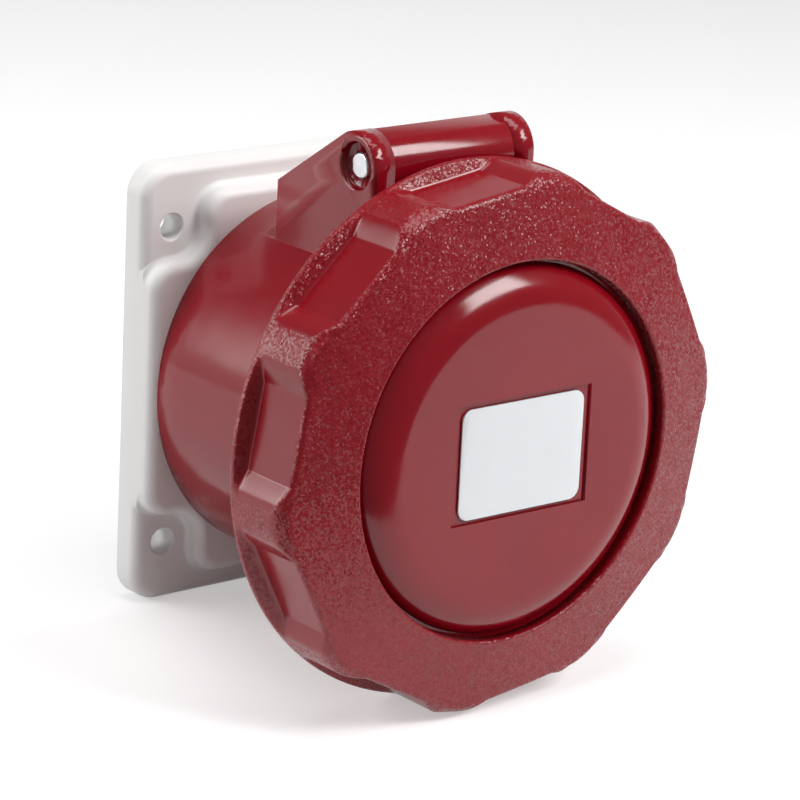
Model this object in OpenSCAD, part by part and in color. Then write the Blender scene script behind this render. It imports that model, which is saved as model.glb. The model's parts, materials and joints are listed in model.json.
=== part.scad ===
// Straight industrial panel socket, 125 A class, with a hinged lid and a bayonet locking ring.
// Every sub-part is drawn facing up in a local frame: X to the right, Y upwards and Z out of the
// panel. facing() then stands it up, so that the socket looks along -Y and +Z is up.
// The origin is the centre of the flange's back face, where it meets the panel.

/* [Flange] */
// Width of the mounting flange
flange_w = 100; // [98:0.5:106]
// Height of the mounting flange
flange_h = 114.6; // [110:0.2:124]
// Thickness of the flange outside the raised pad
plate_t = 8.2; // [7.4:0.2:9]
// Radius of the flange's corners
corner_r = 8; // [6:0.5:12]
// Rounding of the flange's front edges
edge_r = 3; // [2:0.25:3.5]
// Distance between the mounting holes, across and up
hole_spacing = 83; // [81:0.5:84]
// Diameter of the mounting holes
hole_d = 6.6; // [5.5:0.1:7]
// Rounding of the mounting holes' mouths
hole_edge_r = 0.6; // [0.2:0.1:0.8]
// Height of the raised pad above the flange
pad_h = 5; // [3:0.25:6]
// Height of the raised pad from its bottom edge to its top edge
pad_size = 102; // [100:0.5:104]
// Radius of the scoops that clear the mounting screws
scoop_r = 8; // [7:0.25:8.5]
// Radius of the fillet between the raised pad and the flange
pad_fillet_r = 1.5; // [0.8:0.1:2]

/* [Barrel] */
// Outer radius of the barrel at the flange
barrel_r = 48; // [47:0.25:48.5]
// Outer radius of the barrel at its mouth
barrel_mouth_r = 47.6; // [47:0.1:47.8]
// Distance from the panel to the barrel's mouth
mouth_z = 86; // [85.5:0.1:86]
// Radius of the bore that takes the plug's shroud
shroud_bore_r = 42.25; // [42:0.05:42.75]
// Thickness of the bayonet lugs
lug_t = 4; // [3:0.25:4]

/* [Hinge] */
// Height of the hinge axis above the socket's centre line
hinge_y = 66.2; // [65.8:0.1:67]
// Distance of the hinge axis from the panel
hinge_z = 59.4; // [59:0.1:60]
// Radius of the bracket's ears round the hinge pin
ear_r = 8.6; // [8:0.1:9]
// Thickness of each ear
ear_t = 5.5; // [5:0.25:6]
// Distance between the ears' outer faces
ear_span = 49.2; // [48:0.2:51]
// Radius of the hinge pin
pin_r = 3.3; // [2.5:0.1:3.5]

/* [Lid and label] */
// Radius of the lid's dome where it stands in the locking ring
dome_r = 46.9; // [46.4:0.1:47.2]
// Radius of the dome's flat centre
dome_flat_r = 36.5; // [35:0.5:38]
// Distance from the panel to the dome's flat centre
dome_z = 98.4; // [97.6:0.1:99]
// Width of the label plate
label_w = 38.2; // [30:0.2:40]
// Height of the label plate
label_h = 27.9; // [20:0.1:29]
// Width of the recess round the label plate, less the plate's own width
label_margin = 4.5; // [1:0.1:5]

/* [Locking ring] */
// Largest radius of the locking ring
ring_r = 68.5; // [67.5:0.1:69]
// Radius of the ring's front opening
ring_opening_r = 47.8; // [47.6:0.1:48.4]
// Distance from the panel to the ring's rear edge
ring_rear_z = 72; // [71.6:0.1:72.4]
// Distance from the panel to the front edge of the ring's opening
ring_front_z = 96.5; // [96:0.1:97]
// Number of finger pockets
pockets = 10; // [8:1:12]
// Distance from the centre line to the floor of a finger pocket
pocket_floor = 64.6; // [64.4:0.1:65.5]
// Angle of the first pocket's middle, from +X towards +Y
pocket_phase = 98; // [90:1:108]

/* [Contacts] */
// Radius of the circle that the power contacts stand on
contact_circle_r = 23.5; // [23:0.25:24]
// Radius of the bore in a phase or neutral contact, for a pin of 10 mm
phase_bore_r = 5.05; // [5.01:0.01:5.1]
// Radius of the bore in the earth contact, for a pin of 12 mm
earth_bore_r = 6.05; // [6.01:0.01:6.1]
// Radius of the bore in the pilot contact, for a pin of 6 mm
pilot_bore_r = 3.05; // [3.01:0.01:3.1]

/* [Hidden] */
$fn = 96;
eps = 0.01;         // lets a cutter run past the face it opens
clear = 0.3;        // space between pieces of different bodies
seat = 0.1;         // space between pieces that are fixed to each other
red = [0.62, 0.05, 0.09];
grey = [0.80, 0.80, 0.79];
black = [0.08, 0.08, 0.09];
steel = [0.72, 0.73, 0.75];
brass = [0.78, 0.62, 0.30];

hole_x = hole_spacing / 2;
pad_z = plate_t + pad_h;            // the pad's front face
pad_root_z = plate_t - edge_r - 1;  // where the pad starts inside the flange
pad_inset = 0.05;                   // keeps the pad's sides just inside the flange's sides
pad_corner_r = 7;                   // radius of the pad's corners beside each scoop
fillet_sink = 0.05;                 // how far a fillet starts inside the face that it stands on
scoop_shift = 0.25;                 // the scoops' centres lie this much nearer the centre line
screw_r = 1.95;                     // shank of the screws that hold the barrel and the carrier
screw_head_r = 3.6;
screw_head_h = 2.5;
screw_socket_r = 1.6;               // corner radius of the hexagon in a screw's head
spigot_r = 35.6;                    // the barrel's spigot in the flange's opening
neck_r = 33;                        // the insulators' neck in the spigot
floor_z = 24;                       // bottom of the space for the plug's shroud
screw_circle_r = 41.2;              // the circle that the barrel screws stand on
groove_r = 45.6;                    // inner radius of the flange gasket
groove_w = 3.2;                     // width of the flange gasket
groove_t = 2;                       // depth of the flange gasket's groove
seal_in_r = 44;                     // inner radius of the seal's groove in the barrel's rear face
seal_out_r = 46.6;
seal_t = 1.4;                       // depth of that groove
keyway_w = 10;                      // width of the keyway at six o'clock
keyway_depth = 2.6;

lug_r = 56.5;                       // outer radius of the barrel's lugs
lug_front_z = 82;                   // front face of the barrel's lugs
lug_half = 22;                      // half the angle of a barrel lug
ring_lug_half = 16;                 // half the angle of a ring lug
ring_lug_rest = 45;                 // angle of the first ring lug while unlocked
ring_lug_r = 50.9;                  // inner radius of the ring's lugs

bracket_rear_z = 28.9;              // rear edge of the hinge bracket
bracket_rear_y = 56.3;              // top of the bracket's rear edge
bracket_root_y = 40;                // where the bracket starts inside the barrel's wall
bracket_fillet_r = 2;               // fillet between the bracket's sides and the barrel
ear_front_z = hinge_z + ear_r;
web_t = 3;                          // thickness of the bracket's roof and rear wall
roof_front_z = 49.6;                // where the roof stops behind the knuckle
knuckle_r = 8.4;
knuckle_flat = 7.7;                 // distance from the axis to the knuckle's flat
knuckle_tilt = 7.7;                 // slope of the knuckle's flat
ear_inner_x = ear_span / 2 - ear_t;
arm_half = 16;                      // half the width of the lid's arm
arm_in_r = 48.9;
arm_out_r = 53.2;
recess_depth = 0.8;                 // depth of the recess round the label plate
dome_foot = 0.1;                    // height of the dome's upright foot in front of the rim
spring_x = 5.5;                     // where the torsion spring starts on the hinge axis
spring_r = 4.9;                     // radius of the spring's coils
spring_turns = 5;
spring_pitch = 1.9;
wire_r = 0.6;

skirt_r = 59.6;                     // inner radius of the locking ring's skirt
ring_wall_z = 93;                   // rear face of the locking ring's front wall
rim_r = skirt_r - clear;            // the lid's rim, which turns in the skirt
rim_front_z = ring_wall_z - clear;
rim_t = 2.8;
rim_rear_z = rim_front_z - rim_t;
gasket_in_r = 42.5;                 // inner radius of the lid gasket's groove
gasket_out_r = 48.5;
gasket_front_z = 91.4;              // bottom of the lid gasket's groove
retainer_front_z = rim_rear_z - 0.6;
retainer_t = 2.1;
retainer_in_r = 54.2;
retainer_out_r = 61;
ring_edge_r = 4.2;                  // rounding of the ring's front edge
ring_edge_z = 88.6;                 // where that rounding starts
ring_edge_end = 68;                 // angle through which it turns
pocket_half_floor = 10.8;           // half the width of a finger pocket's floor
pocket_half_mouth = 18.6;           // half the width of a finger pocket at the ring's outside
pocket_rise = 3.2;                  // height of a pocket's flanks
pocket_rear_z = 75.2;               // rear wall of a finger pocket at its floor
land_hollow_r = 65.2;               // outer radius of the hollows behind the lands
land_hollow_z = retainer_front_z - retainer_t - 2;

carrier_r = 37.4;                   // the carrier inside the plug's shroud
carrier_front_z = 80;
block_rear_z = -14;                 // rear face of the terminal block
joint_z = 14;                       // where carrier and terminal block meet
sleeve_front_z = 77;                // front end of the contact sleeves
sleeve_floor_z = 35;                // bottom of the pin bores
stub_rear_z = -10;                  // rear end of the contacts
sleeve_wall = 1.55;
wire_bore_r = 4.6;
wire_bore_depth = 12;
pilot_wire_r = 2.2;
terminal_z = -5;                    // height of the terminal screws
contact_angles = [126, 54, -18, 198, 270];  // L1, L2, L3, neutral and earth

// Stands a sub-part up so that its local Z points out of the panel.
module facing() {
    rotate([90, 0, 0]) children();
}

// Turns a profile of [radius, z] points round the socket's centre line.
module turned(profile) {
    rotate_extrude() polygon(profile);
}

// A tube from z0 to z1.
module tube(r_out, r_in, z0, z1) {
    translate([0, 0, z0]) difference() {
        cylinder(r = r_out, h = z1 - z0);
        translate([0, 0, -1]) cylinder(r = r_in, h = z1 - z0 + 2);
    }
}

// A sector of a tube, half_angle to each side of the direction angle.
module tube_sector(r_out, r_in, z0, z1, angle, half_angle) {
    rotate([0, 0, angle - half_angle]) translate([0, 0, z0])
        rotate_extrude(angle = 2 * half_angle)
            translate([r_in, 0]) square([r_out - r_in, z1 - z0]);
}

// Points of an arc round centre c from angle a0 to angle a1, in n steps. An arc that carries on
// from another one starts at its second point, with first = 1.
function arc(c, r, a0, a1, n, first = 0) =
    [for (i = [first:n]) c + r * [cos(a0 + (a1 - a0) * i / n), sin(a0 + (a1 - a0) * i / n)]];

function mirrored_x(points) = [for (i = [len(points) - 1:-1:0]) [-points[i][0], points[i][1]]];
function mirrored_y(points) = [for (i = [len(points) - 1:-1:0]) [points[i][0], -points[i][1]]];
function four_quadrants(quarter) =
    let (upper = concat(quarter, mirrored_x(quarter)))
    concat(upper, mirrored_y(upper));

// Outline of a rectangle with round corners, inset by g.
function plate_outline(w, h, r, g) =
    four_quadrants(arc([w / 2 - r, h / 2 - r], r - g, 0, 90, 8));

// Outline of the raised pad, inset by g. Each corner is a scoop round a mounting hole, which runs
// into the pad's edges through two convex arcs that touch it.
function pad_outline(g) =
    let (hole = [hole_x, hole_x - scoop_shift])
    let (reach = scoop_r + pad_corner_r)
    let (side_x = flange_w / 2 - pad_corner_r)
    let (top_y = pad_size / 2 - pad_corner_r)
    let (side = [side_x, hole[1] - sqrt(pow(reach, 2) - pow(side_x - hole[0], 2))])
    let (top = [hole[0] - sqrt(pow(reach, 2) - pow(hole[1] - top_y, 2)), top_y])
    let (side_end = atan2(hole[1] - side[1], hole[0] - side[0]))
    let (top_start = atan2(hole[1] - top[1], hole[0] - top[0]))
    four_quadrants(concat(
        arc(side, pad_corner_r - g, 0, side_end, 8),
        arc(hole, scoop_r + g, side_end + 180, top_start + 180, 12, 1),
        arc(top, pad_corner_r - g, top_start, 90, 8, 1)
    ));

// Outline of the fillet at the pad's foot, spread by g. It fades out over the flange's round edge.
function foot_outline(g) =
    let (wall = pad_outline(pad_inset), foot = pad_outline(pad_inset - g))
    [for (i = [0:len(wall) - 1])
        wall[i] + (foot[i] - wall[i]) * min((flange_w / 2 - abs(wall[i][0])) / edge_r, 1)];

// A solid skinned over outlines with the same number of points, given as [z, outline] layers.
module skinned(layers) {
    n = len(layers[0][1]);
    last = (len(layers) - 1) * n;
    points = [for (layer = layers) for (p = layer[1]) [p[0], p[1], layer[0]]];
    bottom = [[for (i = [0:n - 1]) i]];
    top = [[for (i = [n - 1:-1:0]) last + i]];
    sides = [
        for (k = [0:len(layers) - 2]) for (i = [0:n - 1])
            let (a = k * n + i, b = k * n + (i + 1) % n)
            each [[a, b + n, b], [a, a + n, b + n]]
    ];
    polyhedron(points, concat(bottom, top, sides));
}

// Insets and heights of a rounded front edge of radius r that ends at z.
function rounding(r, z, n) =
    [for (i = [0:n]) [r * (1 - cos(90 * i / n)), z - r + r * sin(90 * i / n)]];

// Spreads and heights of a fillet of radius r on a face at z, which starts a little inside it.
function fillet(r, z, n) =
    [for (i = [0:n]) [r * (1 - sin(90 * i / n)), z + r * (1 - cos(90 * i / n)) - fillet_sink]];

module at_mounting_holes() {
    for (x = [-1, 1]) for (y = [-1, 1])
        translate([x * hole_x, y * hole_x, 0]) children();
}

module flange() {
    color(grey) facing() difference() {
        union() {
            skinned(concat(
                [[0, plate_outline(flange_w, flange_h, corner_r, 0)]],
                [for (e = rounding(edge_r, plate_t, 5))
                    [e[1], plate_outline(flange_w, flange_h, corner_r, e[0])]]
            ));
            skinned(concat(
                [[pad_root_z, pad_outline(pad_inset)]],
                [for (e = fillet(pad_fillet_r, plate_t, 4)) [e[1], foot_outline(e[0])]],
                [for (e = rounding(edge_r, pad_z, 5)) [e[1], pad_outline(pad_inset + e[0])]]
            ));
        }
        translate([0, 0, -1]) cylinder(r = spigot_r + seat, h = pad_z + 2);
        at_mounting_holes() mounting_hole();
        at_barrel_screws() {
            translate([0, 0, -1]) cylinder(r = screw_r + 0.25, h = pad_z + 2);
            translate([0, 0, -eps]) cylinder(r = screw_head_r + 0.2, h = screw_head_h + 1.5);
        }
        tube(groove_r + groove_w, groove_r, -eps, groove_t);
    }
}

// The space of a mounting hole: a straight bore with a rounded mouth.
module mounting_hole() {
    hole_r = hole_d / 2;
    translate([0, 0, -1]) cylinder(r = hole_r, h = plate_t + 2);
    turned(concat(
        [[0, plate_t - hole_edge_r - eps]],
        arc([hole_r + hole_edge_r, plate_t - hole_edge_r], hole_edge_r, 180, 90, 6),
        [[hole_r + hole_edge_r, plate_t + 1], [0, plate_t + 1]]
    ));
}

module flange_gasket() {
    color(black) facing()
        tube(groove_r + groove_w - seat, groove_r + seat, seat / 2, groove_t - seat / 2);
}

module at_barrel_screws() {
    for (a = [45:90:315]) rotate([0, 0, a]) translate([screw_circle_r, 0, 0]) children();
}

// A cap screw that points along Z, with its head's rear face at z = 0.
module cap_screw(length) {
    difference() {
        union() {
            cylinder(r = screw_head_r, h = screw_head_h);
            cylinder(r = screw_r, h = length);
        }
        translate([0, 0, -1]) cylinder(r = screw_socket_r, h = screw_head_h, $fn = 6);
    }
}

module barrel_screws() {
    color(steel) facing() at_barrel_screws() translate([0, 0, 1.4]) cap_screw(19);
}

module barrel_seal() {
    color(black) facing()
        tube(seal_out_r - seat, seal_in_r + seat, pad_z + seat / 2, pad_z + seal_t - seat / 2);
}

// Slope of the bracket's back, which touches the round end of the ears.
function back_slope() =
    let (to_axis = [hinge_y - bracket_rear_y, hinge_z - bracket_rear_z])
    atan2(to_axis[0], to_axis[1]) + asin(ear_r / norm(to_axis));

// Side profile of the hinge bracket's ears, as [y, z] points: a sloping back that runs into the
// round end, and a straight front.
function ear_profile() = concat(
    [[bracket_root_y, bracket_rear_z], [bracket_rear_y, bracket_rear_z]],
    arc([hinge_y, hinge_z], ear_r, -back_slope(), 90, 24),
    [[bracket_root_y, ear_front_z]]
);

// Profile of the hollow under the bracket's sloping roof.
function under_roof_profile() =
    let (slope = back_slope(), rear = bracket_rear_z + web_t, front = roof_front_z + 1)
    let (roof_rear = bracket_rear_y + web_t * tan(slope) - web_t / cos(slope))
    let (roof_front = roof_rear + (front - rear) * tan(slope))
    [[bracket_root_y, rear], [roof_rear, rear], [roof_front, front], [bracket_root_y, front]];

// Lays a profile of [y, z] points in the plane of the ears and gives it the width w along X.
module across(w) {
    rotate([0, 0, 90]) rotate([90, 0, 0]) translate([0, 0, -w / 2]) linear_extrude(w) children();
}

module bracket() {
    difference() {
        across(ear_span) polygon(ear_profile());
        // the space for the lid's knuckle and arm
        translate([-ear_inner_x, bracket_root_y, roof_front_z]) cube([2 * ear_inner_x, 40, 30]);
        across(2 * ear_inner_x) polygon(under_roof_profile());
        // pin bore and counterbores
        translate([-30, hinge_y, hinge_z]) rotate([0, 90, 0]) cylinder(r = pin_r + 0.02, h = 60);
        for (side = [-1, 1])
            translate([side * (ear_span / 2 - 2.5), hinge_y, hinge_z]) rotate([0, side * 90, 0])
                cylinder(r1 = 5.6, r2 = 6.2, h = 2.5 + eps);
        cylinder(r = barrel_r - 3, h = 100);
    }
}

// The fillets between the bracket's sides and the barrel, which run along the barrel.
module bracket_fillets() {
    side_x = ear_span / 2;
    centre_x = side_x + bracket_fillet_r;
    reach = barrel_mouth_r + bracket_fillet_r;
    centre_y = sqrt(pow(reach, 2) - pow(centre_x, 2));
    to_barrel = 180 + atan2(centre_y, centre_x);
    profile = concat(
        [[side_x - 1, bracket_root_y - 1], [side_x - 1, centre_y]],
        arc([centre_x, centre_y], bracket_fillet_r, 180, to_barrel, 6),
        [[centre_x - 0.6, bracket_root_y - 1]]
    );
    for (side = [0, 1]) mirror([side, 0, 0]) translate([0, 0, bracket_rear_z])
        linear_extrude(ear_front_z - bracket_rear_z) polygon(profile);
}

// Profile of the barrel: spigot, seal groove, outside, mouth, bore and floor.
function barrel_profile() = [
    [neck_r + seat, 2], [spigot_r, 2], [spigot_r, pad_z],
    [seal_in_r, pad_z], [seal_in_r, pad_z + seal_t], [seal_out_r, pad_z + seal_t], [seal_out_r, pad_z],
    [barrel_r, pad_z], [barrel_mouth_r, ring_rear_z],
    [barrel_mouth_r, mouth_z - 0.8], [barrel_mouth_r - 0.8, mouth_z],
    [shroud_bore_r + 1.2, mouth_z], [shroud_bore_r, mouth_z - 1.2],
    [shroud_bore_r, floor_z], [neck_r + seat, floor_z]
];

module socket_barrel() {
    color(red) facing() difference() {
        union() {
            turned(barrel_profile());
            bracket();
            bracket_fillets();
            for (side = [0, 180]) {
                tube_sector(lug_r, barrel_mouth_r - 1, lug_front_z - lug_t, lug_front_z, side, lug_half);
                // the stop at the locked end of the lug
                tube_sector(lug_r, barrel_mouth_r - 1, ring_rear_z + 1.2, lug_front_z,
                    side - lug_half + 2, 2);
            }
        }
        at_barrel_screws() translate([0, 0, pad_z - 1]) cylinder(r = screw_r + 0.05, h = 9);
        translate([-keyway_w / 2, -shroud_bore_r - keyway_depth, floor_z + 6])
            cube([keyway_w, 2 * keyway_depth, mouth_z]);
    }
}

module at_contacts(angles = contact_angles) {
    for (a = angles) rotate([0, 0, a]) translate([contact_circle_r, 0, 0]) children();
}

function is_earth(a) = a == contact_angles[4];
function pin_bore_r(a) = is_earth(a) ? earth_bore_r : phase_bore_r;

module at_carrier_screws() {
    for (a = [90, 210, 330]) rotate([0, 0, a]) translate([11.6, 0, 0]) children();
}

// The holes that hold the contacts, through both insulators.
module contact_holes() {
    for (a = contact_angles) at_contacts([a])
        sleeve_hole(pin_bore_r(a));
    sleeve_hole(pilot_bore_r);
}
module sleeve_hole(bore_r) {
    translate([0, 0, -20]) cylinder(r = bore_r + sleeve_wall + seat, h = sleeve_front_z + 20);
}

// The conical entry that leads a pin into its sleeve.
module pin_entry(bore_r) {
    translate([0, 0, sleeve_front_z - eps])
        cylinder(r1 = bore_r + 0.5, r2 = bore_r + 1.5, h = carrier_front_z - sleeve_front_z + 2 * eps);
}

module contact_carrier() {
    color(black) facing() difference() {
        turned([
            [0, joint_z], [neck_r, joint_z], [neck_r, floor_z + seat], [carrier_r, floor_z + seat],
            [carrier_r, carrier_front_z - 1], [carrier_r - 1, carrier_front_z], [0, carrier_front_z]
        ]);
        contact_holes();
        for (a = contact_angles) at_contacts([a]) pin_entry(pin_bore_r(a));
        pin_entry(pilot_bore_r);
        at_carrier_screws() translate([0, 0, -20]) cylinder(r = screw_r + 0.05, h = 60);
    }
}

module terminal_block() {
    color(black) facing() difference() {
        turned([
            [0, block_rear_z], [neck_r - 1, block_rear_z], [neck_r, block_rear_z + 1], [neck_r, -1.5],
            [spigot_r - 0.2, -1.5], [spigot_r - 0.2, 2 - seat], [neck_r, 2 - seat],
            [neck_r, joint_z - seat], [0, joint_z - seat]
        ]);
        contact_holes();
        at_carrier_screws() {
            translate([0, 0, -20]) cylinder(r = screw_r + 0.25, h = 60);
            translate([0, 0, block_rear_z - 1]) cylinder(r = screw_head_r + 0.2, h = screw_head_h + 2.5);
        }
        for (a = contact_angles) rotate([0, 0, a]) translate([contact_circle_r, 0, terminal_z])
            rotate([0, 90, 0]) cylinder(r = 3, h = 20);
    }
}

module carrier_screws() {
    color(steel) facing() at_carrier_screws() translate([0, 0, block_rear_z + 1.4]) cap_screw(50);
}

// A turned contact: a slotted sleeve for the pin, with a groove for its spring ring, and a stub
// with the conductor's bore and the tapped hole of the terminal screw.
module contact(angle, bore_r) {
    r = bore_r + sleeve_wall;
    color(brass) facing() rotate([0, 0, angle]) translate([contact_circle_r, 0, 0]) difference() {
        translate([0, 0, stub_rear_z]) cylinder(r = r, h = sleeve_front_z - stub_rear_z - seat);
        translate([0, 0, sleeve_floor_z]) cylinder(r = bore_r, h = 60);
        translate([0, 0, sleeve_front_z - 1.2]) cylinder(r1 = bore_r, r2 = bore_r + 0.8, h = 1.2);
        for (slot = [0, 90]) rotate([0, 0, slot])
            translate([-r - 1, -0.5, sleeve_floor_z + 12]) cube([2 * r + 2, 1, 60]);
        tube(r + 1, r - 0.5, sleeve_front_z - 10, sleeve_front_z - 7);
        translate([0, 0, stub_rear_z - 1]) cylinder(r = wire_bore_r, h = wire_bore_depth + 1);
        translate([0, 0, terminal_z]) rotate([0, 90, 0]) cylinder(r = 2.5, h = 20);
    }
}

module contact_l1() { contact(contact_angles[0], phase_bore_r); }
module contact_l2() { contact(contact_angles[1], phase_bore_r); }
module contact_l3() { contact(contact_angles[2], phase_bore_r); }
module neutral_contact() { contact(contact_angles[3], phase_bore_r); }
module earth_contact() { contact(contact_angles[4], earth_bore_r); }

module pilot_contact() {
    r = pilot_bore_r + sleeve_wall;
    color(brass) facing() difference() {
        translate([0, 0, stub_rear_z]) cylinder(r = r, h = sleeve_front_z - stub_rear_z - seat);
        translate([0, 0, sleeve_floor_z + 12]) cylinder(r = pilot_bore_r, h = 60);
        translate([-r - 1, -0.4, sleeve_floor_z + 20]) cube([2 * r + 2, 0.8, 60]);
        translate([0, 0, stub_rear_z - 1]) cylinder(r = pilot_wire_r, h = 9);
    }
}

module sleeve_springs() {
    color(steel) facing() for (a = contact_angles) at_contacts([a])
        tube(pin_bore_r(a) + sleeve_wall, pin_bore_r(a) + sleeve_wall - 0.45,
            sleeve_front_z - 9.9, sleeve_front_z - 7.1);
}

module terminal_screws() {
    color(steel) facing() for (a = contact_angles) rotate([0, 0, a])
        translate([contact_circle_r + wire_bore_r + seat, 0, terminal_z])
            rotate([0, 90, 0]) difference() {
                cylinder(r = 2.4, h = 4);
                translate([0, 0, 2]) cylinder(r = 1.3, h = 4, $fn = 6);
            }
}

// Border of the dome: an arc that leaves the flat centre without an edge and falls to the rim.
function dome_border() =
    let (run = dome_r - dome_flat_r, drop = dome_z - rim_front_z - dome_foot)
    let (r = (run * run + drop * drop) / (2 * drop))
    arc([dome_flat_r, dome_z - r], r, 90, 90 - asin(run / r), 9);

// Profile of the lid: dome, rim and the groove of its gasket.
function lid_profile() = concat(
    [[0, dome_z]],
    dome_border(),
    [[dome_r, rim_front_z], [rim_r, rim_front_z], [rim_r, rim_rear_z]],
    [[gasket_out_r, rim_rear_z], [gasket_out_r, gasket_front_z], [gasket_in_r, gasket_front_z]],
    [[gasket_in_r, 89], [gasket_in_r - 1.5, 89], [gasket_in_r - 1.5, 92.4]],
    [[38.5, 94.2], [34, 95.3], [0, 95.3]]
);

module lid() {
    color(red) facing() difference() {
        union() {
            turned(lid_profile());
            // the arm that runs back under the ring's rear edge
            intersection() {
                tube(arm_out_r, arm_in_r, hinge_z - 3, rim_rear_z + 1);
                translate([-arm_half, 0, 0]) cube([2 * arm_half, 60, 100]);
            }
            // the web from the arm up to the knuckle
            intersection() {
                translate([-arm_half, 40, hinge_z - 3]) cube([2 * arm_half, hinge_y - 40, 7.4]);
                tube(80, arm_in_r, 0, 100);
            }
            knuckle();
        }
        translate([-40, hinge_y, hinge_z]) rotate([0, 90, 0]) cylinder(r = pin_r + 0.05, h = 80);
        // the pocket of the torsion spring
        translate([spring_x - 1.5, hinge_y, hinge_z]) rotate([0, 90, 0]) cylinder(r = spring_r + 1.3, h = 40);
        recess_w = label_w + label_margin;
        recess_h = label_h + label_margin / 2;
        translate([-recess_w / 2, -recess_h / 2, dome_z - recess_depth]) cube([recess_w, recess_h, 5]);
    }
}

// The hinge knuckle, round with a flat on top.
module knuckle() {
    length = 2 * ear_inner_x - 0.9;
    translate([-ear_inner_x + 0.2, hinge_y, hinge_z]) rotate([0, 90, 0]) intersection() {
        cylinder(r = knuckle_r, h = length);
        rotate([0, 0, 90 + knuckle_tilt]) translate([-20, -20, 0])
            cube([20 + knuckle_flat, 40, length]);
    }
}

module lid_gasket() {
    r1 = gasket_in_r + seat;
    r2 = gasket_out_r - seat;
    front = gasket_front_z - seat;
    rear = mouth_z + clear;
    color(black) facing() turned([
        [r1, front], [r1, rear + 0.9], [r1 + 0.8, rear], [r2 - 1, rear], [r2, rear + 0.9], [r2, front]
    ]);
}

module label_plate() {
    color("white") facing() translate([0, 0, dome_z - recess_depth + seat / 2])
        linear_extrude(recess_depth - 1.5 * seat) polygon(plate_outline(label_w, label_h, 3, 0));
}

// Cross-section of the space that a finger pocket takes, as [radius, sideways] points: a flat
// floor and flanks that rise to the ring's outside in a soft S.
function pocket_flank() = [
    for (i = [0:8])
        let (t = i / 8, spread = pocket_half_mouth - pocket_half_floor)
        [pocket_floor + pocket_rise * t * t * (3 - 2 * t), pocket_half_floor + spread * t]
];
function pocket_section() = concat(
    pocket_flank(),
    [[72, 21], [72, -21]],
    [for (i = [8:-1:0]) [pocket_flank()[i][0], -pocket_flank()[i][1]]]
);

module finger_pocket() {
    intersection() {
        linear_extrude(120) polygon(pocket_section());
        // floor and slanted rear wall, seen along the ring's edge
        rotate([90, 0, 0]) translate([0, 0, -25]) linear_extrude(50)
            polygon([
                [pocket_floor - 1, pocket_rear_z + 0.4], [pocket_floor, pocket_rear_z],
                [72, pocket_rear_z - 2.6], [72, 110], [pocket_floor - 1, 110]
            ]);
    }
}

// Profile of the ring, with its front wall and the groove of the retainer.
function ring_profile() = concat(
    arc([ring_r - 1, ring_rear_z + 1], 1, -90, 0, 4),
    arc([ring_r - ring_edge_r, ring_edge_z], ring_edge_r, 0, ring_edge_end, 8),
    [[ring_opening_r + 0.5, ring_front_z], [ring_opening_r, ring_front_z - 0.5]],
    [[ring_opening_r, ring_wall_z], [skirt_r, ring_wall_z]],
    [[skirt_r, retainer_front_z + seat], [retainer_out_r + 0.2, retainer_front_z + seat]],
    [[retainer_out_r + 0.2, retainer_front_z - retainer_t - seat]],
    [[skirt_r, retainer_front_z - retainer_t - seat], [skirt_r, ring_rear_z]]
);

module locking_ring() {
    color(red) facing() union() {
        difference() {
            turned(ring_profile());
            for (i = [0:pockets - 1]) rotate([0, 0, pocket_phase + i * 360 / pockets]) {
                finger_pocket();
                // the hollow behind the land beside the pocket
                rotate([0, 0, 180 / pockets])
                    tube_sector(land_hollow_r, 50, ring_rear_z - 1, land_hollow_z, 0, 3.6);
            }
        }
        for (side = [0, 180])
            tube_sector(skirt_r + 1, ring_lug_r, ring_rear_z + 1.4, lug_front_z - lug_t - 0.6,
                side + ring_lug_rest, ring_lug_half);
    }
}

module ring_retainer() {
    color(black) facing() difference() {
        tube(retainer_out_r, retainer_in_r, retainer_front_z - retainer_t, retainer_front_z);
        // the gap that lets it snap in
        rotate([0, 0, 270]) translate([50, -2, 0]) cube([20, 4, 100]);
    }
}

module hinge_pin() {
    length = ear_span - 2.6;
    edge = 0.5;
    color(steel) facing() translate([-length / 2, hinge_y, hinge_z]) rotate([0, 90, 0]) turned([
        [0, 0], [pin_r - edge, 0], [pin_r, edge],
        [pin_r, length - edge], [pin_r - edge, length], [0, length]
    ]);
}

// The torsion spring's wire, swept along a helix round the hinge axis.
module lid_spring() {
    rings = 72;
    sides = 8;
    last = rings * sides;
    points = [
        for (k = [0:rings]) for (i = [0:sides - 1])
            let (turn = 360 * spring_turns * k / rings, w = 360 * i / sides)
            let (r = spring_r + wire_r * cos(w), x = spring_pitch * turn / 360 + wire_r * sin(w))
            [x, r * cos(turn), r * sin(turn)]
    ];
    faces = concat(
        [[for (i = [0:sides - 1]) i]],
        [[for (i = [sides - 1:-1:0]) last + i]],
        [
            for (k = [0:rings - 1]) for (i = [0:sides - 1])
                let (a = k * sides + i, b = k * sides + (i + 1) % sides)
                each [[a, b + sides, b], [a, a + sides, b + sides]]
        ]
    );
    color(steel) facing() translate([spring_x, hinge_y, hinge_z]) polyhedron(points, faces);
}

flange();
flange_gasket();
socket_barrel();
barrel_seal();
barrel_screws();
contact_carrier();
terminal_block();
carrier_screws();
contact_l1();
contact_l2();
contact_l3();
neutral_contact();
earth_contact();
pilot_contact();
sleeve_springs();
terminal_screws();
lid();
lid_gasket();
label_plate();
locking_ring();
ring_retainer();
hinge_pin();
lid_spring();
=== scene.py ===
"""Dresses the industrial panel socket: finer mouldings, materials, floor, lights and camera."""
import json
import math

import bpy
import numpy as np
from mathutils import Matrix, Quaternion, Vector


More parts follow.
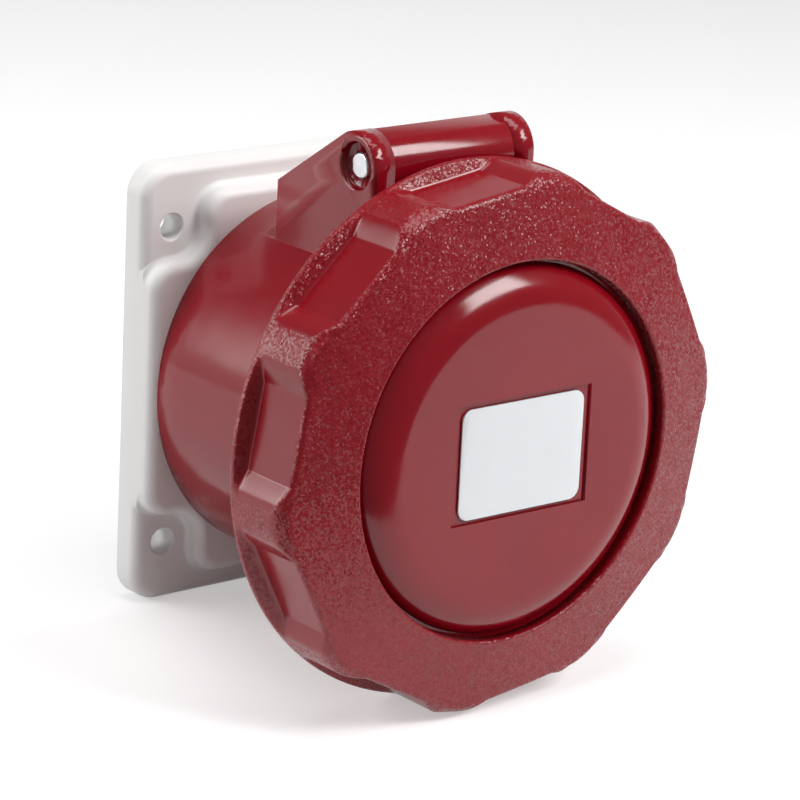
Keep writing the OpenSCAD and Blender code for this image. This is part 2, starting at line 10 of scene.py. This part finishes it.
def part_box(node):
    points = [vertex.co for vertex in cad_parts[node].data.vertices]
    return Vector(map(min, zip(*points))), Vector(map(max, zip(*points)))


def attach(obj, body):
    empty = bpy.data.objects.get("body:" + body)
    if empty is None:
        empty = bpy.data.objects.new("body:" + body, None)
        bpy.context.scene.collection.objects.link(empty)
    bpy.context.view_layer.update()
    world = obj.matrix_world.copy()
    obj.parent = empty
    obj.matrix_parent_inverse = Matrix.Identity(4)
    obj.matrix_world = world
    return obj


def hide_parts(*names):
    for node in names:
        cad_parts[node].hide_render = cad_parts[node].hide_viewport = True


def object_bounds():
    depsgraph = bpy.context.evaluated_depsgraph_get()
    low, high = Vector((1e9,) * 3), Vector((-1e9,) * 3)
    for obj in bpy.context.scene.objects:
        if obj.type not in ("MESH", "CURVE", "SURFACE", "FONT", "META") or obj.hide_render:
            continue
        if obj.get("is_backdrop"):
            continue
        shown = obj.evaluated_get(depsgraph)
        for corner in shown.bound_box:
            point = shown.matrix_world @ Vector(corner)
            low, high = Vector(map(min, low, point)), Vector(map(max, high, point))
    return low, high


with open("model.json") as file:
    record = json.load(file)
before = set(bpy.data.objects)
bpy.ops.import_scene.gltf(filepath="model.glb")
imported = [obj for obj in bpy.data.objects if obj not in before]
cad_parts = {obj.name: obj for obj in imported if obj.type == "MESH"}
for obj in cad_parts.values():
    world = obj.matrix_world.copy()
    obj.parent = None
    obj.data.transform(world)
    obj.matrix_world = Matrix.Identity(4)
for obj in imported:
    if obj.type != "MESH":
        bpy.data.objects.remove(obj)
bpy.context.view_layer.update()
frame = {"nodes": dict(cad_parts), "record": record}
nodes = frame["nodes"]

MM = 0.001
PLATE_T = 8.2           # flange outside the raised pad
PAD_H = 5.0
PAD_SIZE = 102.0
SCOOP_R = 8.0           # scoops that clear the mounting screws
PAD_CORNER_R = 7.0
CORNER_R = 8.0
EDGE_R = 3.0            # rounding of the flange's front edges
REAR_EDGE = 0.4         # small rounding of its rear edge
PAD_FILLET = 1.3        # the hollow rounding where the pad's wall meets the plate
PAD_INSET = 0.05        # keeps the pad's wall clear of the plate's side
HOLE_AT = 41.5          # mounting holes, across and up from the centre line
HOLE_R = 3.3
HOLE_EDGE_R = 0.6
SPIGOT_R = 35.7

RING_FRONT = 96.5
OPENING_R = 47.8
SKIRT_R = 59.6
WALL_REAR = 93.0        # rear face of the ring's front wall
RING_EDGE_R = 4.2
POCKETS = 10
POCKET_PHASE = 98.0
POCKET_FLOOR = 64.6
HALF_FLOOR = 10.8
FLANK_SLOPE = 0.36      # rise of a pocket's flanks for each millimetre sideways
POCKET_WALL = (73.8, 75.2)  # a pocket's rear wall, at the ring's outside and at the floor
POCKET_CREST = 0.7      # softens the crest between a pocket's flank and the land
POCKET_DEPTH = 0.25     # a column this far inside the ring's outside is finished as a pocket
RING_EDGE_Z = 88.6      # centre of the arc that rounds the ring's front edge
RING_EDGE_END = 68      # degrees at which that arc runs into the front face
HOLLOW_FROM = 14.4      # degrees from a pocket's middle at which the hollow behind a land starts
HOLLOW_R = 65.2
HOLLOW_WALL = (85.2, 84.9)  # the hollow's front wall, at the skirt and at its outside

low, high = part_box("flange")
FLANGE_W = (high.x - low.x) / MM
FLANGE_H = (high.z - low.z) / MM
low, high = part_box("locking_ring")
RING_R = high.x / MM
RING_REAR = -high.y / MM


# ---------------------------------------------------------------- mesh helpers

def row_points(points):
    """Points as [across, up, out of the panel] in mm, as rows of the frame's metres."""
    p = np.asarray(points, float).reshape(-1, 3)
    return np.stack([p[:, 0], -p[:, 2], p[:, 1]], axis=1) * MM


def add_piece(name, points, faces, body, slot, materials, face_materials=None):
    """A smooth piece of the scene that rides on a body and carries the given materials; slot is not
    used.
    """
    mesh = bpy.data.meshes.new(name)
    mesh.from_pydata(row_points(points).tolist(), [], faces)
    for material in materials:
        mesh.materials.append(material)
    if face_materials is not None:
        mesh.polygons.foreach_set("material_index", face_materials)
    mesh.polygons.foreach_set("use_smooth", [True] * len(mesh.polygons))
    mesh.validate()
    piece = bpy.data.objects.new(name, mesh)
    bpy.context.scene.collection.objects.link(piece)
    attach(piece, body)
    return piece


def ring_faces(rings, size):
    """Quads between loops of points, each with the same size and closed on itself."""
    faces = []
    for k in range(rings - 1):
        a, b = k * size, (k + 1) * size
        for i in range(size):
            j = (i + 1) % size
            faces.append((a + i, a + j, b + j, b + i))
    return faces


def arc(centre, radius, start, end, steps, first=0):
    """Points of an arc, in degrees; first=1 leaves out the point that the last arc ended on."""
    angles = np.radians(start + (end - start) * np.arange(first, steps + 1) / steps)
    return np.stack([centre[0] + radius * np.cos(angles), centre[1] + radius * np.sin(angles)], 1)


def circle(radius, steps, x=0.0, y=0.0):
    return arc((x, y), radius, 0, 360 - 360 / steps, steps - 1)


def four_quadrants(quarter):
    """A closed outline, from the quarter of it that lies to the upper right."""
    upper = np.concatenate([quarter, (quarter * [-1, 1])[::-1]])
    return np.concatenate([upper, (upper * [1, -1])[::-1]])


def rounding(radius, top, steps):
    """Inset and height of the layers of a rounded front edge."""
    angles = np.radians(90 * np.arange(steps + 1) / steps)
    return np.stack([radius * (1 - np.cos(angles)), top - radius + radius * np.sin(angles)], 1)


def skinned(layers):
    """Points and faces of a solid skinned over outlines, given as (height, outline)."""
    size = len(layers[0][1])
    points = [(x, y, z) for z, outline in layers for x, y in outline]
    faces = [tuple(reversed(range(size)))] + ring_faces(len(layers), size)
    faces.append(tuple(len(points) - size + i for i in range(size)))
    return points, faces


def boolean(piece, tool, operation):
    """Applies a boolean and deletes the tool object."""
    change = piece.modifiers.new("boolean", "BOOLEAN")
    change.operation = operation
    change.solver = "EXACT"
    change.object = tool
    graph = bpy.context.evaluated_depsgraph_get()
    mesh = bpy.data.meshes.new_from_object(piece.evaluated_get(graph))
    piece.modifiers.remove(change)
    old, piece.data = piece.data, mesh
    bpy.data.meshes.remove(old)
    bpy.data.objects.remove(tool)


def tool_object(points, faces):
    """A throw-away object that boolean() joins to a piece or cuts from it."""
    mesh = bpy.data.meshes.new("tool")
    mesh.from_pydata(row_points(points).tolist(), [], faces)
    tool = bpy.data.objects.new("tool", mesh)
    bpy.context.scene.collection.objects.link(tool)
    return tool


def soften(piece):
    """Smooth shading that keeps flat faces flat."""
    piece.data.polygons.foreach_set("use_smooth", [True] * len(piece.data.polygons))
    normals = piece.modifiers.new("normals", "WEIGHTED_NORMAL")
    normals.keep_sharp = True
    normals.weight = 100


# ---------------------------------------------------------------- materials

MIX_A, MIX_B, MIX_RESULT = 6, 7, 2      # the Mix node's colour sockets


class Surface:
    """A principled material with noise that varies its colour and roughness, and bumps."""

    def __init__(self, name, colour, roughness, **sockets):
        self.material = bpy.data.materials.new(name)
        self.material.use_nodes = True
        self.tree = self.material.node_tree
        self.shader = self.tree.nodes["Principled BSDF"]
        self.shader.inputs["Base Color"].default_value = (*colour, 1)
        self.shader.inputs["Roughness"].default_value = roughness
        for socket, value in sockets.items():
            self.shader.inputs[socket.replace("_", " ")].default_value = value
        self.coords = self.node("ShaderNodeTexCoord").outputs["Object"]
        self.colour = colour
        self.height = None

    def node(self, kind, **inputs):
        made = self.tree.nodes.new(kind)
        for name, value in inputs.items():
            socket = made.inputs[name.replace("_", " ")]
            if isinstance(value, bpy.types.NodeSocket):
                self.tree.links.new(value, socket)
            else:
                socket.default_value = value
        return made

    def noise(self, size, detail=2.0, stretch=None):
        """Noise whose features are about size mm across, as a value from 0 to 1."""
        coords = self.coords
        if stretch:
            mapped = self.node("ShaderNodeMapping", Vector=coords)
            mapped.inputs["Scale"].default_value = stretch
            coords = mapped.outputs["Vector"]
        made = self.node("ShaderNodeTexNoise", Vector=coords, Scale=1 / (size * MM), Detail=detail)
        return made.outputs["Fac"]

    def between(self, value, low, high):
        """Spreads the middle of a noise value over the range from low to high."""
        made = self.node("ShaderNodeMapRange", Value=value)
        made.inputs["From Min"].default_value = 0.3
        made.inputs["From Max"].default_value = 0.7
        made.inputs["To Min"].default_value = low
        made.inputs["To Max"].default_value = high
        return made.outputs["Result"]

    def vary_colour(self, size, amount):
        """Makes the colour lighter and darker by amount, in patches of that size."""
        mix = self.node("ShaderNodeMix")
        mix.data_type = "RGBA"
        self.tree.links.new(self.between(self.noise(size, 3), 0, 1), mix.inputs["Factor"])
        mix.inputs[MIX_A].default_value = (*[c * (1 - amount) for c in self.colour], 1)
        mix.inputs[MIX_B].default_value = (*[min(1, c * (1 + amount)) for c in self.colour], 1)
        self.tree.links.new(mix.outputs[MIX_RESULT], self.shader.inputs["Base Color"])
        return self

    def vary_roughness(self, size, low, high):
        value = self.between(self.noise(size, 3), low, high)
        self.tree.links.new(value, self.shader.inputs["Roughness"])
        return self

    def bump(self, size, height, detail=2.0, stretch=None):
        """Adds bumps about size mm across and height mm high."""
        made = self.node("ShaderNodeBump", Height=self.noise(size, detail, stretch))
        made.inputs["Distance"].default_value = height * MM
        if self.height:
            self.tree.links.new(self.height, made.inputs["Normal"])
        self.height = made.outputs["Normal"]
        self.tree.links.new(self.height, self.shader.inputs["Normal"])
        return self

    def vector(self, operation, first, second=None):
        made = self.tree.nodes.new("ShaderNodeVectorMath")
        made.operation = operation
        for socket, value in zip(made.inputs, (first, second)):
            if isinstance(value, tuple):
                socket.default_value = value
            elif value:
                self.tree.links.new(value, socket)
        return made.outputs["Vector"]

    def glints(self, size, spread):
        """Tilts each grain of about size mm by a random amount, up to spread."""
        cells = self.node("ShaderNodeTexVoronoi", Vector=self.coords, Scale=1 / (size * MM))
        centred = self.vector("SUBTRACT", cells.outputs["Color"], (0.5, 0.5, 0.5))
        tilt = self.vector("MULTIPLY", centred, (spread, spread, spread))
        tilted = self.vector("NORMALIZE", self.vector("ADD", self.height, tilt))
        self.tree.links.new(tilted, self.shader.inputs["Normal"])
        return self


RED = (0.245, 0.0025, 0.009)
gloss_red = Surface("gloss_red", RED, 0.16)
gloss_red.vary_colour(30, 0.06).vary_roughness(14, 0.12, 0.2).bump(22, 0.10, 1).bump(0.6, 0.002)
textured_red = Surface("textured_red", RED, 0.3)
textured_red.vary_colour(20, 0.05).vary_roughness(5, 0.24, 0.34)
textured_red.bump(0.5, 0.04).glints(0.42, 0.42)
smooth_red = Surface("pocket_red", RED, 0.2)
smooth_red.vary_colour(20, 0.05).vary_roughness(9, 0.15, 0.26).bump(16, 0.05, 1).bump(0.5, 0.003)
flange_grey = Surface("flange_grey", (0.80, 0.79, 0.78), 0.42)
flange_grey.vary_colour(25, 0.015).vary_roughness(8, 0.36, 0.5)
flange_grey.bump(0.35, 0.006).bump(25, 0.06, 1)
rubber = Surface("rubber", (0.02, 0.02, 0.022), 0.65)
rubber.vary_colour(6, 0.2).vary_roughness(3, 0.55, 0.75).bump(0.3, 0.01)
insulator = Surface("insulator_black", (0.022, 0.022, 0.025), 0.45)
insulator.vary_colour(12, 0.15).vary_roughness(6, 0.38, 0.55).bump(0.4, 0.01)
brass = Surface("brass", (0.62, 0.42, 0.16), 0.25, Metallic=1.0)
brass.vary_colour(6, 0.1).vary_roughness(4, 0.18, 0.34).bump(0.25, 0.004, 2, (1, 8, 1))
steel = Surface("zinc_steel", (0.60, 0.60, 0.62), 0.28, Metallic=1.0)
steel.vary_colour(4, 0.08).vary_roughness(2, 0.2, 0.36).bump(0.3, 0.005)
label_white = Surface("label_white", (0.84, 0.855, 0.88), 0.35)
label_white.vary_colour(15, 0.01).vary_roughness(6, 0.3, 0.42).bump(0.5, 0.003)

BY_SLOT = {
    "flange_grey": flange_grey, "gloss_red": gloss_red, "textured_red": textured_red,
    "rubber": rubber, "insulator_black": insulator, "brass": brass,
    "zinc_steel": steel, "label_white": label_white,
}


# ---------------------------------------------------------------- flange

def plate_outline(inset):
    corner = (FLANGE_W / 2 - CORNER_R, FLANGE_H / 2 - CORNER_R)
    return four_quadrants(arc(corner, CORNER_R - inset, 0, 90, 16))


def pad_outline(inset):
    """Outline of the raised pad, whose corners are scoops round the mounting holes."""
    hole = np.array([HOLE_AT, HOLE_AT - 0.25])
    reach = SCOOP_R + PAD_CORNER_R
    side_x = FLANGE_W / 2 - PAD_CORNER_R
    top_y = PAD_SIZE / 2 - PAD_CORNER_R
    side = np.array([side_x, hole[1] - math.sqrt(reach**2 - (side_x - hole[0])**2)])
    top = np.array([hole[0] - math.sqrt(reach**2 - (hole[1] - top_y)**2), top_y])
    side_end = math.degrees(math.atan2(*(hole - side)[::-1]))
    top_start = math.degrees(math.atan2(*(hole - top)[::-1]))
    quarter = np.concatenate([
        arc(side, PAD_CORNER_R - inset, 0, side_end, 14),
        arc(hole, SCOOP_R + inset, side_end + 180, top_start + 180, 28, 1),
        arc(top, PAD_CORNER_R - inset, top_start, 90, 14, 1),
    ])
    quarter[:, 0] = np.minimum(quarter[:, 0], FLANGE_W / 2 - PAD_INSET)
    return four_quadrants(quarter)


def cylinder(radius, z0, z1, steps=96):
    outline = circle(radius, steps)
    return skinned([(z0, outline), (z1, outline)])


def hole_mouth(x, y, steps=64):
    """The space of a mounting hole with its rounded mouth."""
    edge = arc((HOLE_R + HOLE_EDGE_R, PLATE_T - HOLE_EDGE_R), HOLE_EDGE_R, 180, 90, 6)
    profile = [(HOLE_R, -1.0), *edge, (HOLE_R + HOLE_EDGE_R, PLATE_T + 1)]
    return skinned([(z, circle(r, steps, x, y)) for r, z in profile])


def make_flange():
    """The plate and the scooped pad on it, with the mounting holes and the barrel's bore."""
    plate = [(0.0, plate_outline(REAR_EDGE)), (REAR_EDGE, plate_outline(0.0))]
    plate += [(z, plate_outline(g)) for g, z in rounding(EDGE_R, PLATE_T, 8)]
    piece = add_piece("flange_moulding", *skinned(plate), "socket", "flange_grey",
                      [flange_grey.material])
    pad_top = PLATE_T + PAD_H
    pad = [(PLATE_T - EDGE_R - 1, pad_outline(PAD_INSET - PAD_FILLET))]
    for k in range(6):
        turn = math.radians(90 * k / 5)
        pad.append((PLATE_T + PAD_FILLET * (1 - math.cos(turn)),
                    pad_outline(PAD_INSET - PAD_FILLET * (1 - math.sin(turn)))))
    pad += [(z, pad_outline(PAD_INSET + g)) for g, z in rounding(EDGE_R, pad_top, 8)[1:]]
    boolean(piece, tool_object(*skinned(pad)), "UNION")
    for x in (-HOLE_AT, HOLE_AT):
        for y in (-HOLE_AT, HOLE_AT):
            boolean(piece, tool_object(*hole_mouth(x, y)), "DIFFERENCE")
    boolean(piece, tool_object(*cylinder(SPIGOT_R, -1, pad_top + 1)), "DIFFERENCE")
    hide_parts("flange")
    soften(piece)


make_flange()


# ---------------------------------------------------------------- locking ring

def front_curve():
    """The ring's front, from its outside to its opening, as arrays of length, radius and out."""
    edge = arc((RING_R - RING_EDGE_R, RING_EDGE_Z), RING_EDGE_R, 0, RING_EDGE_END, 40)
    lip = np.array([(OPENING_R + 0.5, RING_FRONT)])
    curve = np.concatenate([edge, lip])
    steps = np.linalg.norm(np.diff(curve, axis=0), axis=1)
    return np.concatenate([[0], np.cumsum(steps)]), curve[:, 0], curve[:, 1]


FRONT = front_curve()


def pocket_radius(phi):
    """Radius of the ring's outside at phi degrees from a pocket's middle."""
    c, s = math.cos(math.radians(phi)), math.sin(math.radians(abs(phi)))
    r = POCKET_FLOOR / c
    if r * s > HALF_FLOOR:
        r = (POCKET_FLOOR - FLANK_SLOPE * HALF_FLOOR) / (c - FLANK_SLOPE * s)
    return -POCKET_CREST * math.log(math.exp(-r / POCKET_CREST) + math.exp(-RING_R / POCKET_CREST))


def corner(before, at, after, reach, steps=4):
    """A rounded corner of the meridian, reach mm long to each side."""
    before, at, after = (np.asarray(p, float) for p in (before, at, after))
    a = at + (before - at) * min(0.45, reach / max(1e-6, np.linalg.norm(before - at)))
    b = at + (after - at) * min(0.45, reach / max(1e-6, np.linalg.norm(after - at)))
    t = np.linspace(0, 1, steps)[:, None]
    return (1 - t)**2 * a + 2 * t * (1 - t) * at + t * t * b


def meridian(phi, hollow):
    """The ring's section at phi degrees from a pocket's middle, and each span's finish."""
    r = pocket_radius(phi)
    length, radius, out = FRONT
    start = float(np.interp(-r, -radius, length))
    lengths = start + 3 + (length[-1] - start - 3) * np.linspace(0, 1, 22)**1.6
    front = np.stack([np.interp(lengths, length, radius), np.interp(lengths, length, out)], 1)
    meet = (r, float(np.interp(start, length, out)))
    back_r = HOLLOW_R if hollow else SKIRT_R
    rear_in, rear_out = (back_r, RING_REAR), (RING_R, RING_REAR)
    wall_top, wall_foot = (RING_R, POCKET_WALL[0]), (r, POCKET_WALL[1])
    parts = [
        corner(rear_in, rear_out, wall_top, 0.8, 5),
        corner(rear_out, wall_top, wall_foot, 0.5),
        corner(wall_top, wall_foot, meet, 0.8, 5),
        np.linspace(wall_foot, meet, 8)[1:-1],
        corner(wall_foot, meet, front[0], 1.3, 7),
        front[1:-1],
        corner(front[-2], front[-1], (OPENING_R, RING_FRONT - 0.5), 0.4),
        corner(front[-1], (OPENING_R, RING_FRONT - 0.5), (OPENING_R, WALL_REAR), 0.4),
        [(OPENING_R, WALL_REAR), (SKIRT_R, WALL_REAR), (SKIRT_R, HOLLOW_WALL[0]),
         (back_r, HOLLOW_WALL[1]), (back_r, RING_REAR + 0.4), (back_r + 0.3, RING_REAR)],
    ]
    finish = np.concatenate([np.full(len(p), k) for k, p in enumerate(parts)])
    return np.concatenate(parts), finish


def make_ring():
    """The ring as a loop of meridians, with grain outside and a smooth finish in the pockets."""
    pocket_spans = (2, 3)       # the parts of the meridian that are a pocket's wall and floor
    half = np.concatenate([
        np.arange(0, 9, 1.0), np.arange(9, 14, 0.25), [14.0, 14.39, 14.41], np.arange(15, 18.1, 1.0)
    ])
    columns = [(phi, phi > HOLLOW_FROM) for phi in half]
    turn = columns + [(-phi, hollow) for phi, hollow in columns[-2:0:-1]]
    pitch = 360 / POCKETS
    points, spans = [], []
    for k in range(POCKETS):
        for n, (phi, hollow) in enumerate(turn):
            shift = pitch if n >= len(columns) else 0
            angle = math.radians(POCKET_PHASE + k * pitch + phi + shift)
            section, finish = meridian(abs(phi), hollow)
            points += [(r * math.cos(angle), r * math.sin(angle), out) for r, out in section]
            spans.append((pocket_radius(abs(phi)) < RING_R - POCKET_DEPTH, finish))
    size = len(spans[0][1])
    faces, paint = [], []
    for k in range(len(spans)):
        a, b = k * size, ((k + 1) % len(spans)) * size
        in_pocket = spans[k][0]
        for i in range(size):
            j = (i + 1) % size
            faces.append((a + j, a + i, b + i, b + j))
            paint.append(1 if in_pocket and spans[k][1][i] in pocket_spans else 0)
    piece = add_piece("ring_moulding", points, faces, "ring", "textured_red",
                      [textured_red.material, smooth_red.material], paint)
    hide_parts("locking_ring")
    soften(piece)


make_ring()


# ---------------------------------------------------------------- carried-over nodes

WELD = 0.002            # joins the corners that a node's triangles share

for part in frame["record"]["subparts"]:
    cad = nodes[part["node"]]
    cad.data.materials.clear()
    cad.data.materials.append(BY_SLOT[part["material_slot"]].material)
    weld = cad.modifiers.new("weld", "WELD")
    weld.merge_threshold = WELD * MM
    soften(cad)


# ---------------------------------------------------------------- floor, lights and camera

FLOOR_REACH = 0.19      # how far the pale sheet runs out from the object, towards the camera
FLOOR_SIDE = 1.5
FLOOR_STEPS = 24        # of the rise between the ring and the flange
FLOOR_COLOUR = (0.72, 0.72, 0.725, 1)
FLOOR_GLOW = 0.42       # seen by the camera and in reflections only
BACKDROP_RISE = (2.5, 0.5)      # how fast the mirrored backdrop brightens towards the back
BACKDROP_FALL = (-2.2, 1.4)     # and how fast it darkens towards the top
AZIMUTH = 39.32         # of the camera, from straight in front towards the left
CAMERA_AIM = (0.0020, -0.0483, 0.0004)
CENTRE = (0, -0.05, 0)  # what the lamps face


def make_floor(azimuth):
    """A pale sheet that meets the ring in front and, up a gentle rise, the flange behind."""
    front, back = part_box("locking_ring")[0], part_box("flange")[0]
    gap = 0.2 * MM
    start, end = front.y + 0.012, back.y + 0.004
    rows = [(y, 0.0) for y in (-1.2, -0.6, -0.3)]
    rows += [(start + (end - start) * k / FLOOR_STEPS, k / FLOOR_STEPS)
             for k in range(FLOOR_STEPS + 1)] + [(1.5, 1.0)]
    toward_x, toward_y = math.sin(math.radians(azimuth)), math.cos(math.radians(azimuth))
    points = []
    for y, rise in rows:
        z = front.z + (back.z - front.z) * rise - gap
        points += [(-(y * toward_y + FLOOR_REACH) / toward_x, y, z), (FLOOR_SIDE, y, z)]
    faces = [(2 * k, 2 * k + 1, 2 * k + 3, 2 * k + 2) for k in range(len(rows) - 1)]
    mesh = bpy.data.meshes.new("floor")
    mesh.from_pydata(points, [], faces)
    mesh.polygons.foreach_set("use_smooth", [True] * len(faces))
    floor = bpy.data.objects.new("floor", mesh)
    bpy.context.scene.collection.objects.link(floor)
    floor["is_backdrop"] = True
    material = bpy.data.materials.new("floor")
    material.use_nodes = True
    tree = material.node_tree
    tree.nodes.clear()
    new, link = tree.nodes.new, tree.links.new
    diffuse = new("ShaderNodeBsdfDiffuse")
    diffuse.inputs["Color"].default_value = FLOOR_COLOUR
    glow = new("ShaderNodeEmission")
    path = new("ShaderNodeLightPath")
    seen = new("ShaderNodeMath")
    seen.operation = "MAXIMUM"
    link(path.outputs["Is Camera Ray"], seen.inputs[0])
    link(path.outputs["Is Glossy Ray"], seen.inputs[1])
    level = new("ShaderNodeMath")
    level.operation = "MULTIPLY"
    level.inputs[1].default_value = FLOOR_GLOW
    link(seen.outputs[0], level.inputs[0])
    link(level.outputs[0], glow.inputs["Strength"])
    total = new("ShaderNodeAddShader")
    link(diffuse.outputs[0], total.inputs[0])
    link(glow.outputs[0], total.inputs[1])
    link(total.outputs[0], new("ShaderNodeOutputMaterial").inputs["Surface"])
    mesh.materials.append(material)


def make_world(level):
    """White to the camera. Elsewhere a studio: a white backdrop behind, a dim room in front."""
    world = bpy.data.worlds.new("studio")
    bpy.context.scene.world = world
    world.use_nodes = True
    tree = world.node_tree
    new, link = tree.nodes.new, tree.links.new

    def math_node(operation, first, second, clamp=False):
        made = new("ShaderNodeMath")
        made.operation = operation
        made.use_clamp = clamp
        for socket, value in zip(made.inputs, (first, second)):
            if isinstance(value, float):
                socket.default_value = value
            else:
                link(value, socket)
        return made.outputs[0]

    path = new("ShaderNodeLightPath").outputs
    axes = new("ShaderNodeSeparateXYZ")
    link(new("ShaderNodeTexCoord").outputs["Generated"], axes.inputs[0])
    behind = math_node("MULTIPLY_ADD", axes.outputs["Y"], BACKDROP_RISE[0], True)
    behind.node.inputs[2].default_value = BACKDROP_RISE[1]
    low_down = math_node("MULTIPLY_ADD", axes.outputs["Z"], BACKDROP_FALL[0], True)
    low_down.node.inputs[2].default_value = BACKDROP_FALL[1]
    backdrop = math_node("MULTIPLY", behind, low_down)
    mirrored = math_node("MAXIMUM", path["Is Glossy Ray"], path["Is Transmission Ray"])
    studio = math_node("MAXIMUM", math_node("MULTIPLY", backdrop, mirrored), level)
    strength = math_node("MAXIMUM", studio, path["Is Camera Ray"])
    link(strength, tree.nodes["Background"].inputs["Strength"])
    tree.nodes["Background"].inputs["Color"].default_value = (1, 1, 1, 1)


def softbox(name, at, aim, size, power):
    """A rectangular lamp at a place, turned to face the aim."""
    light = bpy.data.lights.new(name, "AREA")
    light.shape = "RECTANGLE"
    light.size, light.size_y = size
    light.energy = power
    lamp = bpy.data.objects.new(name, light)
    bpy.context.scene.collection.objects.link(lamp)
    lamp.location = at
    lamp.rotation_mode = "QUATERNION"
    lamp.rotation_quaternion = (Vector(aim) - Vector(at)).to_track_quat("-Z", "Y")


def make_camera(azimuth, elevation, distance, roll, lens):
    """A camera to the left of the socket's axis and above it, aimed near the middle."""
    a, e = math.radians(azimuth), math.radians(elevation)
    back = Vector((-math.sin(a) * math.cos(e), -math.cos(a) * math.cos(e), math.sin(e)))
    data = bpy.data.cameras.new("camera")
    data.lens = lens
    camera = bpy.data.objects.new("camera", data)
    bpy.context.scene.collection.objects.link(camera)
    camera.location = Vector(CAMERA_AIM) + back * distance
    camera.rotation_mode = "QUATERNION"
    turn = Quaternion((0, 0, 1), math.radians(roll))
    camera.rotation_quaternion = (-back).to_track_quat("-Z", "Y") @ turn
    bpy.context.scene.camera = camera


make_floor(AZIMUTH)
make_world(level=0.2)
softbox("key_softbox", (0.45, -0.8, 0.75), CENTRE, (0.5, 0.5), 10)
softbox("top_softbox", (-0.1, -0.1, 1.0), CENTRE, (0.8, 0.5), 5)
softbox("left_softbox", (-0.9, 0.55, 0.45), CENTRE, (0.6, 0.7), 7)
make_camera(AZIMUTH, elevation=16.73, distance=0.96, roll=2.83, lens=171.38)
bpy.context.scene.view_settings.view_transform = "Standard"

low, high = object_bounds()
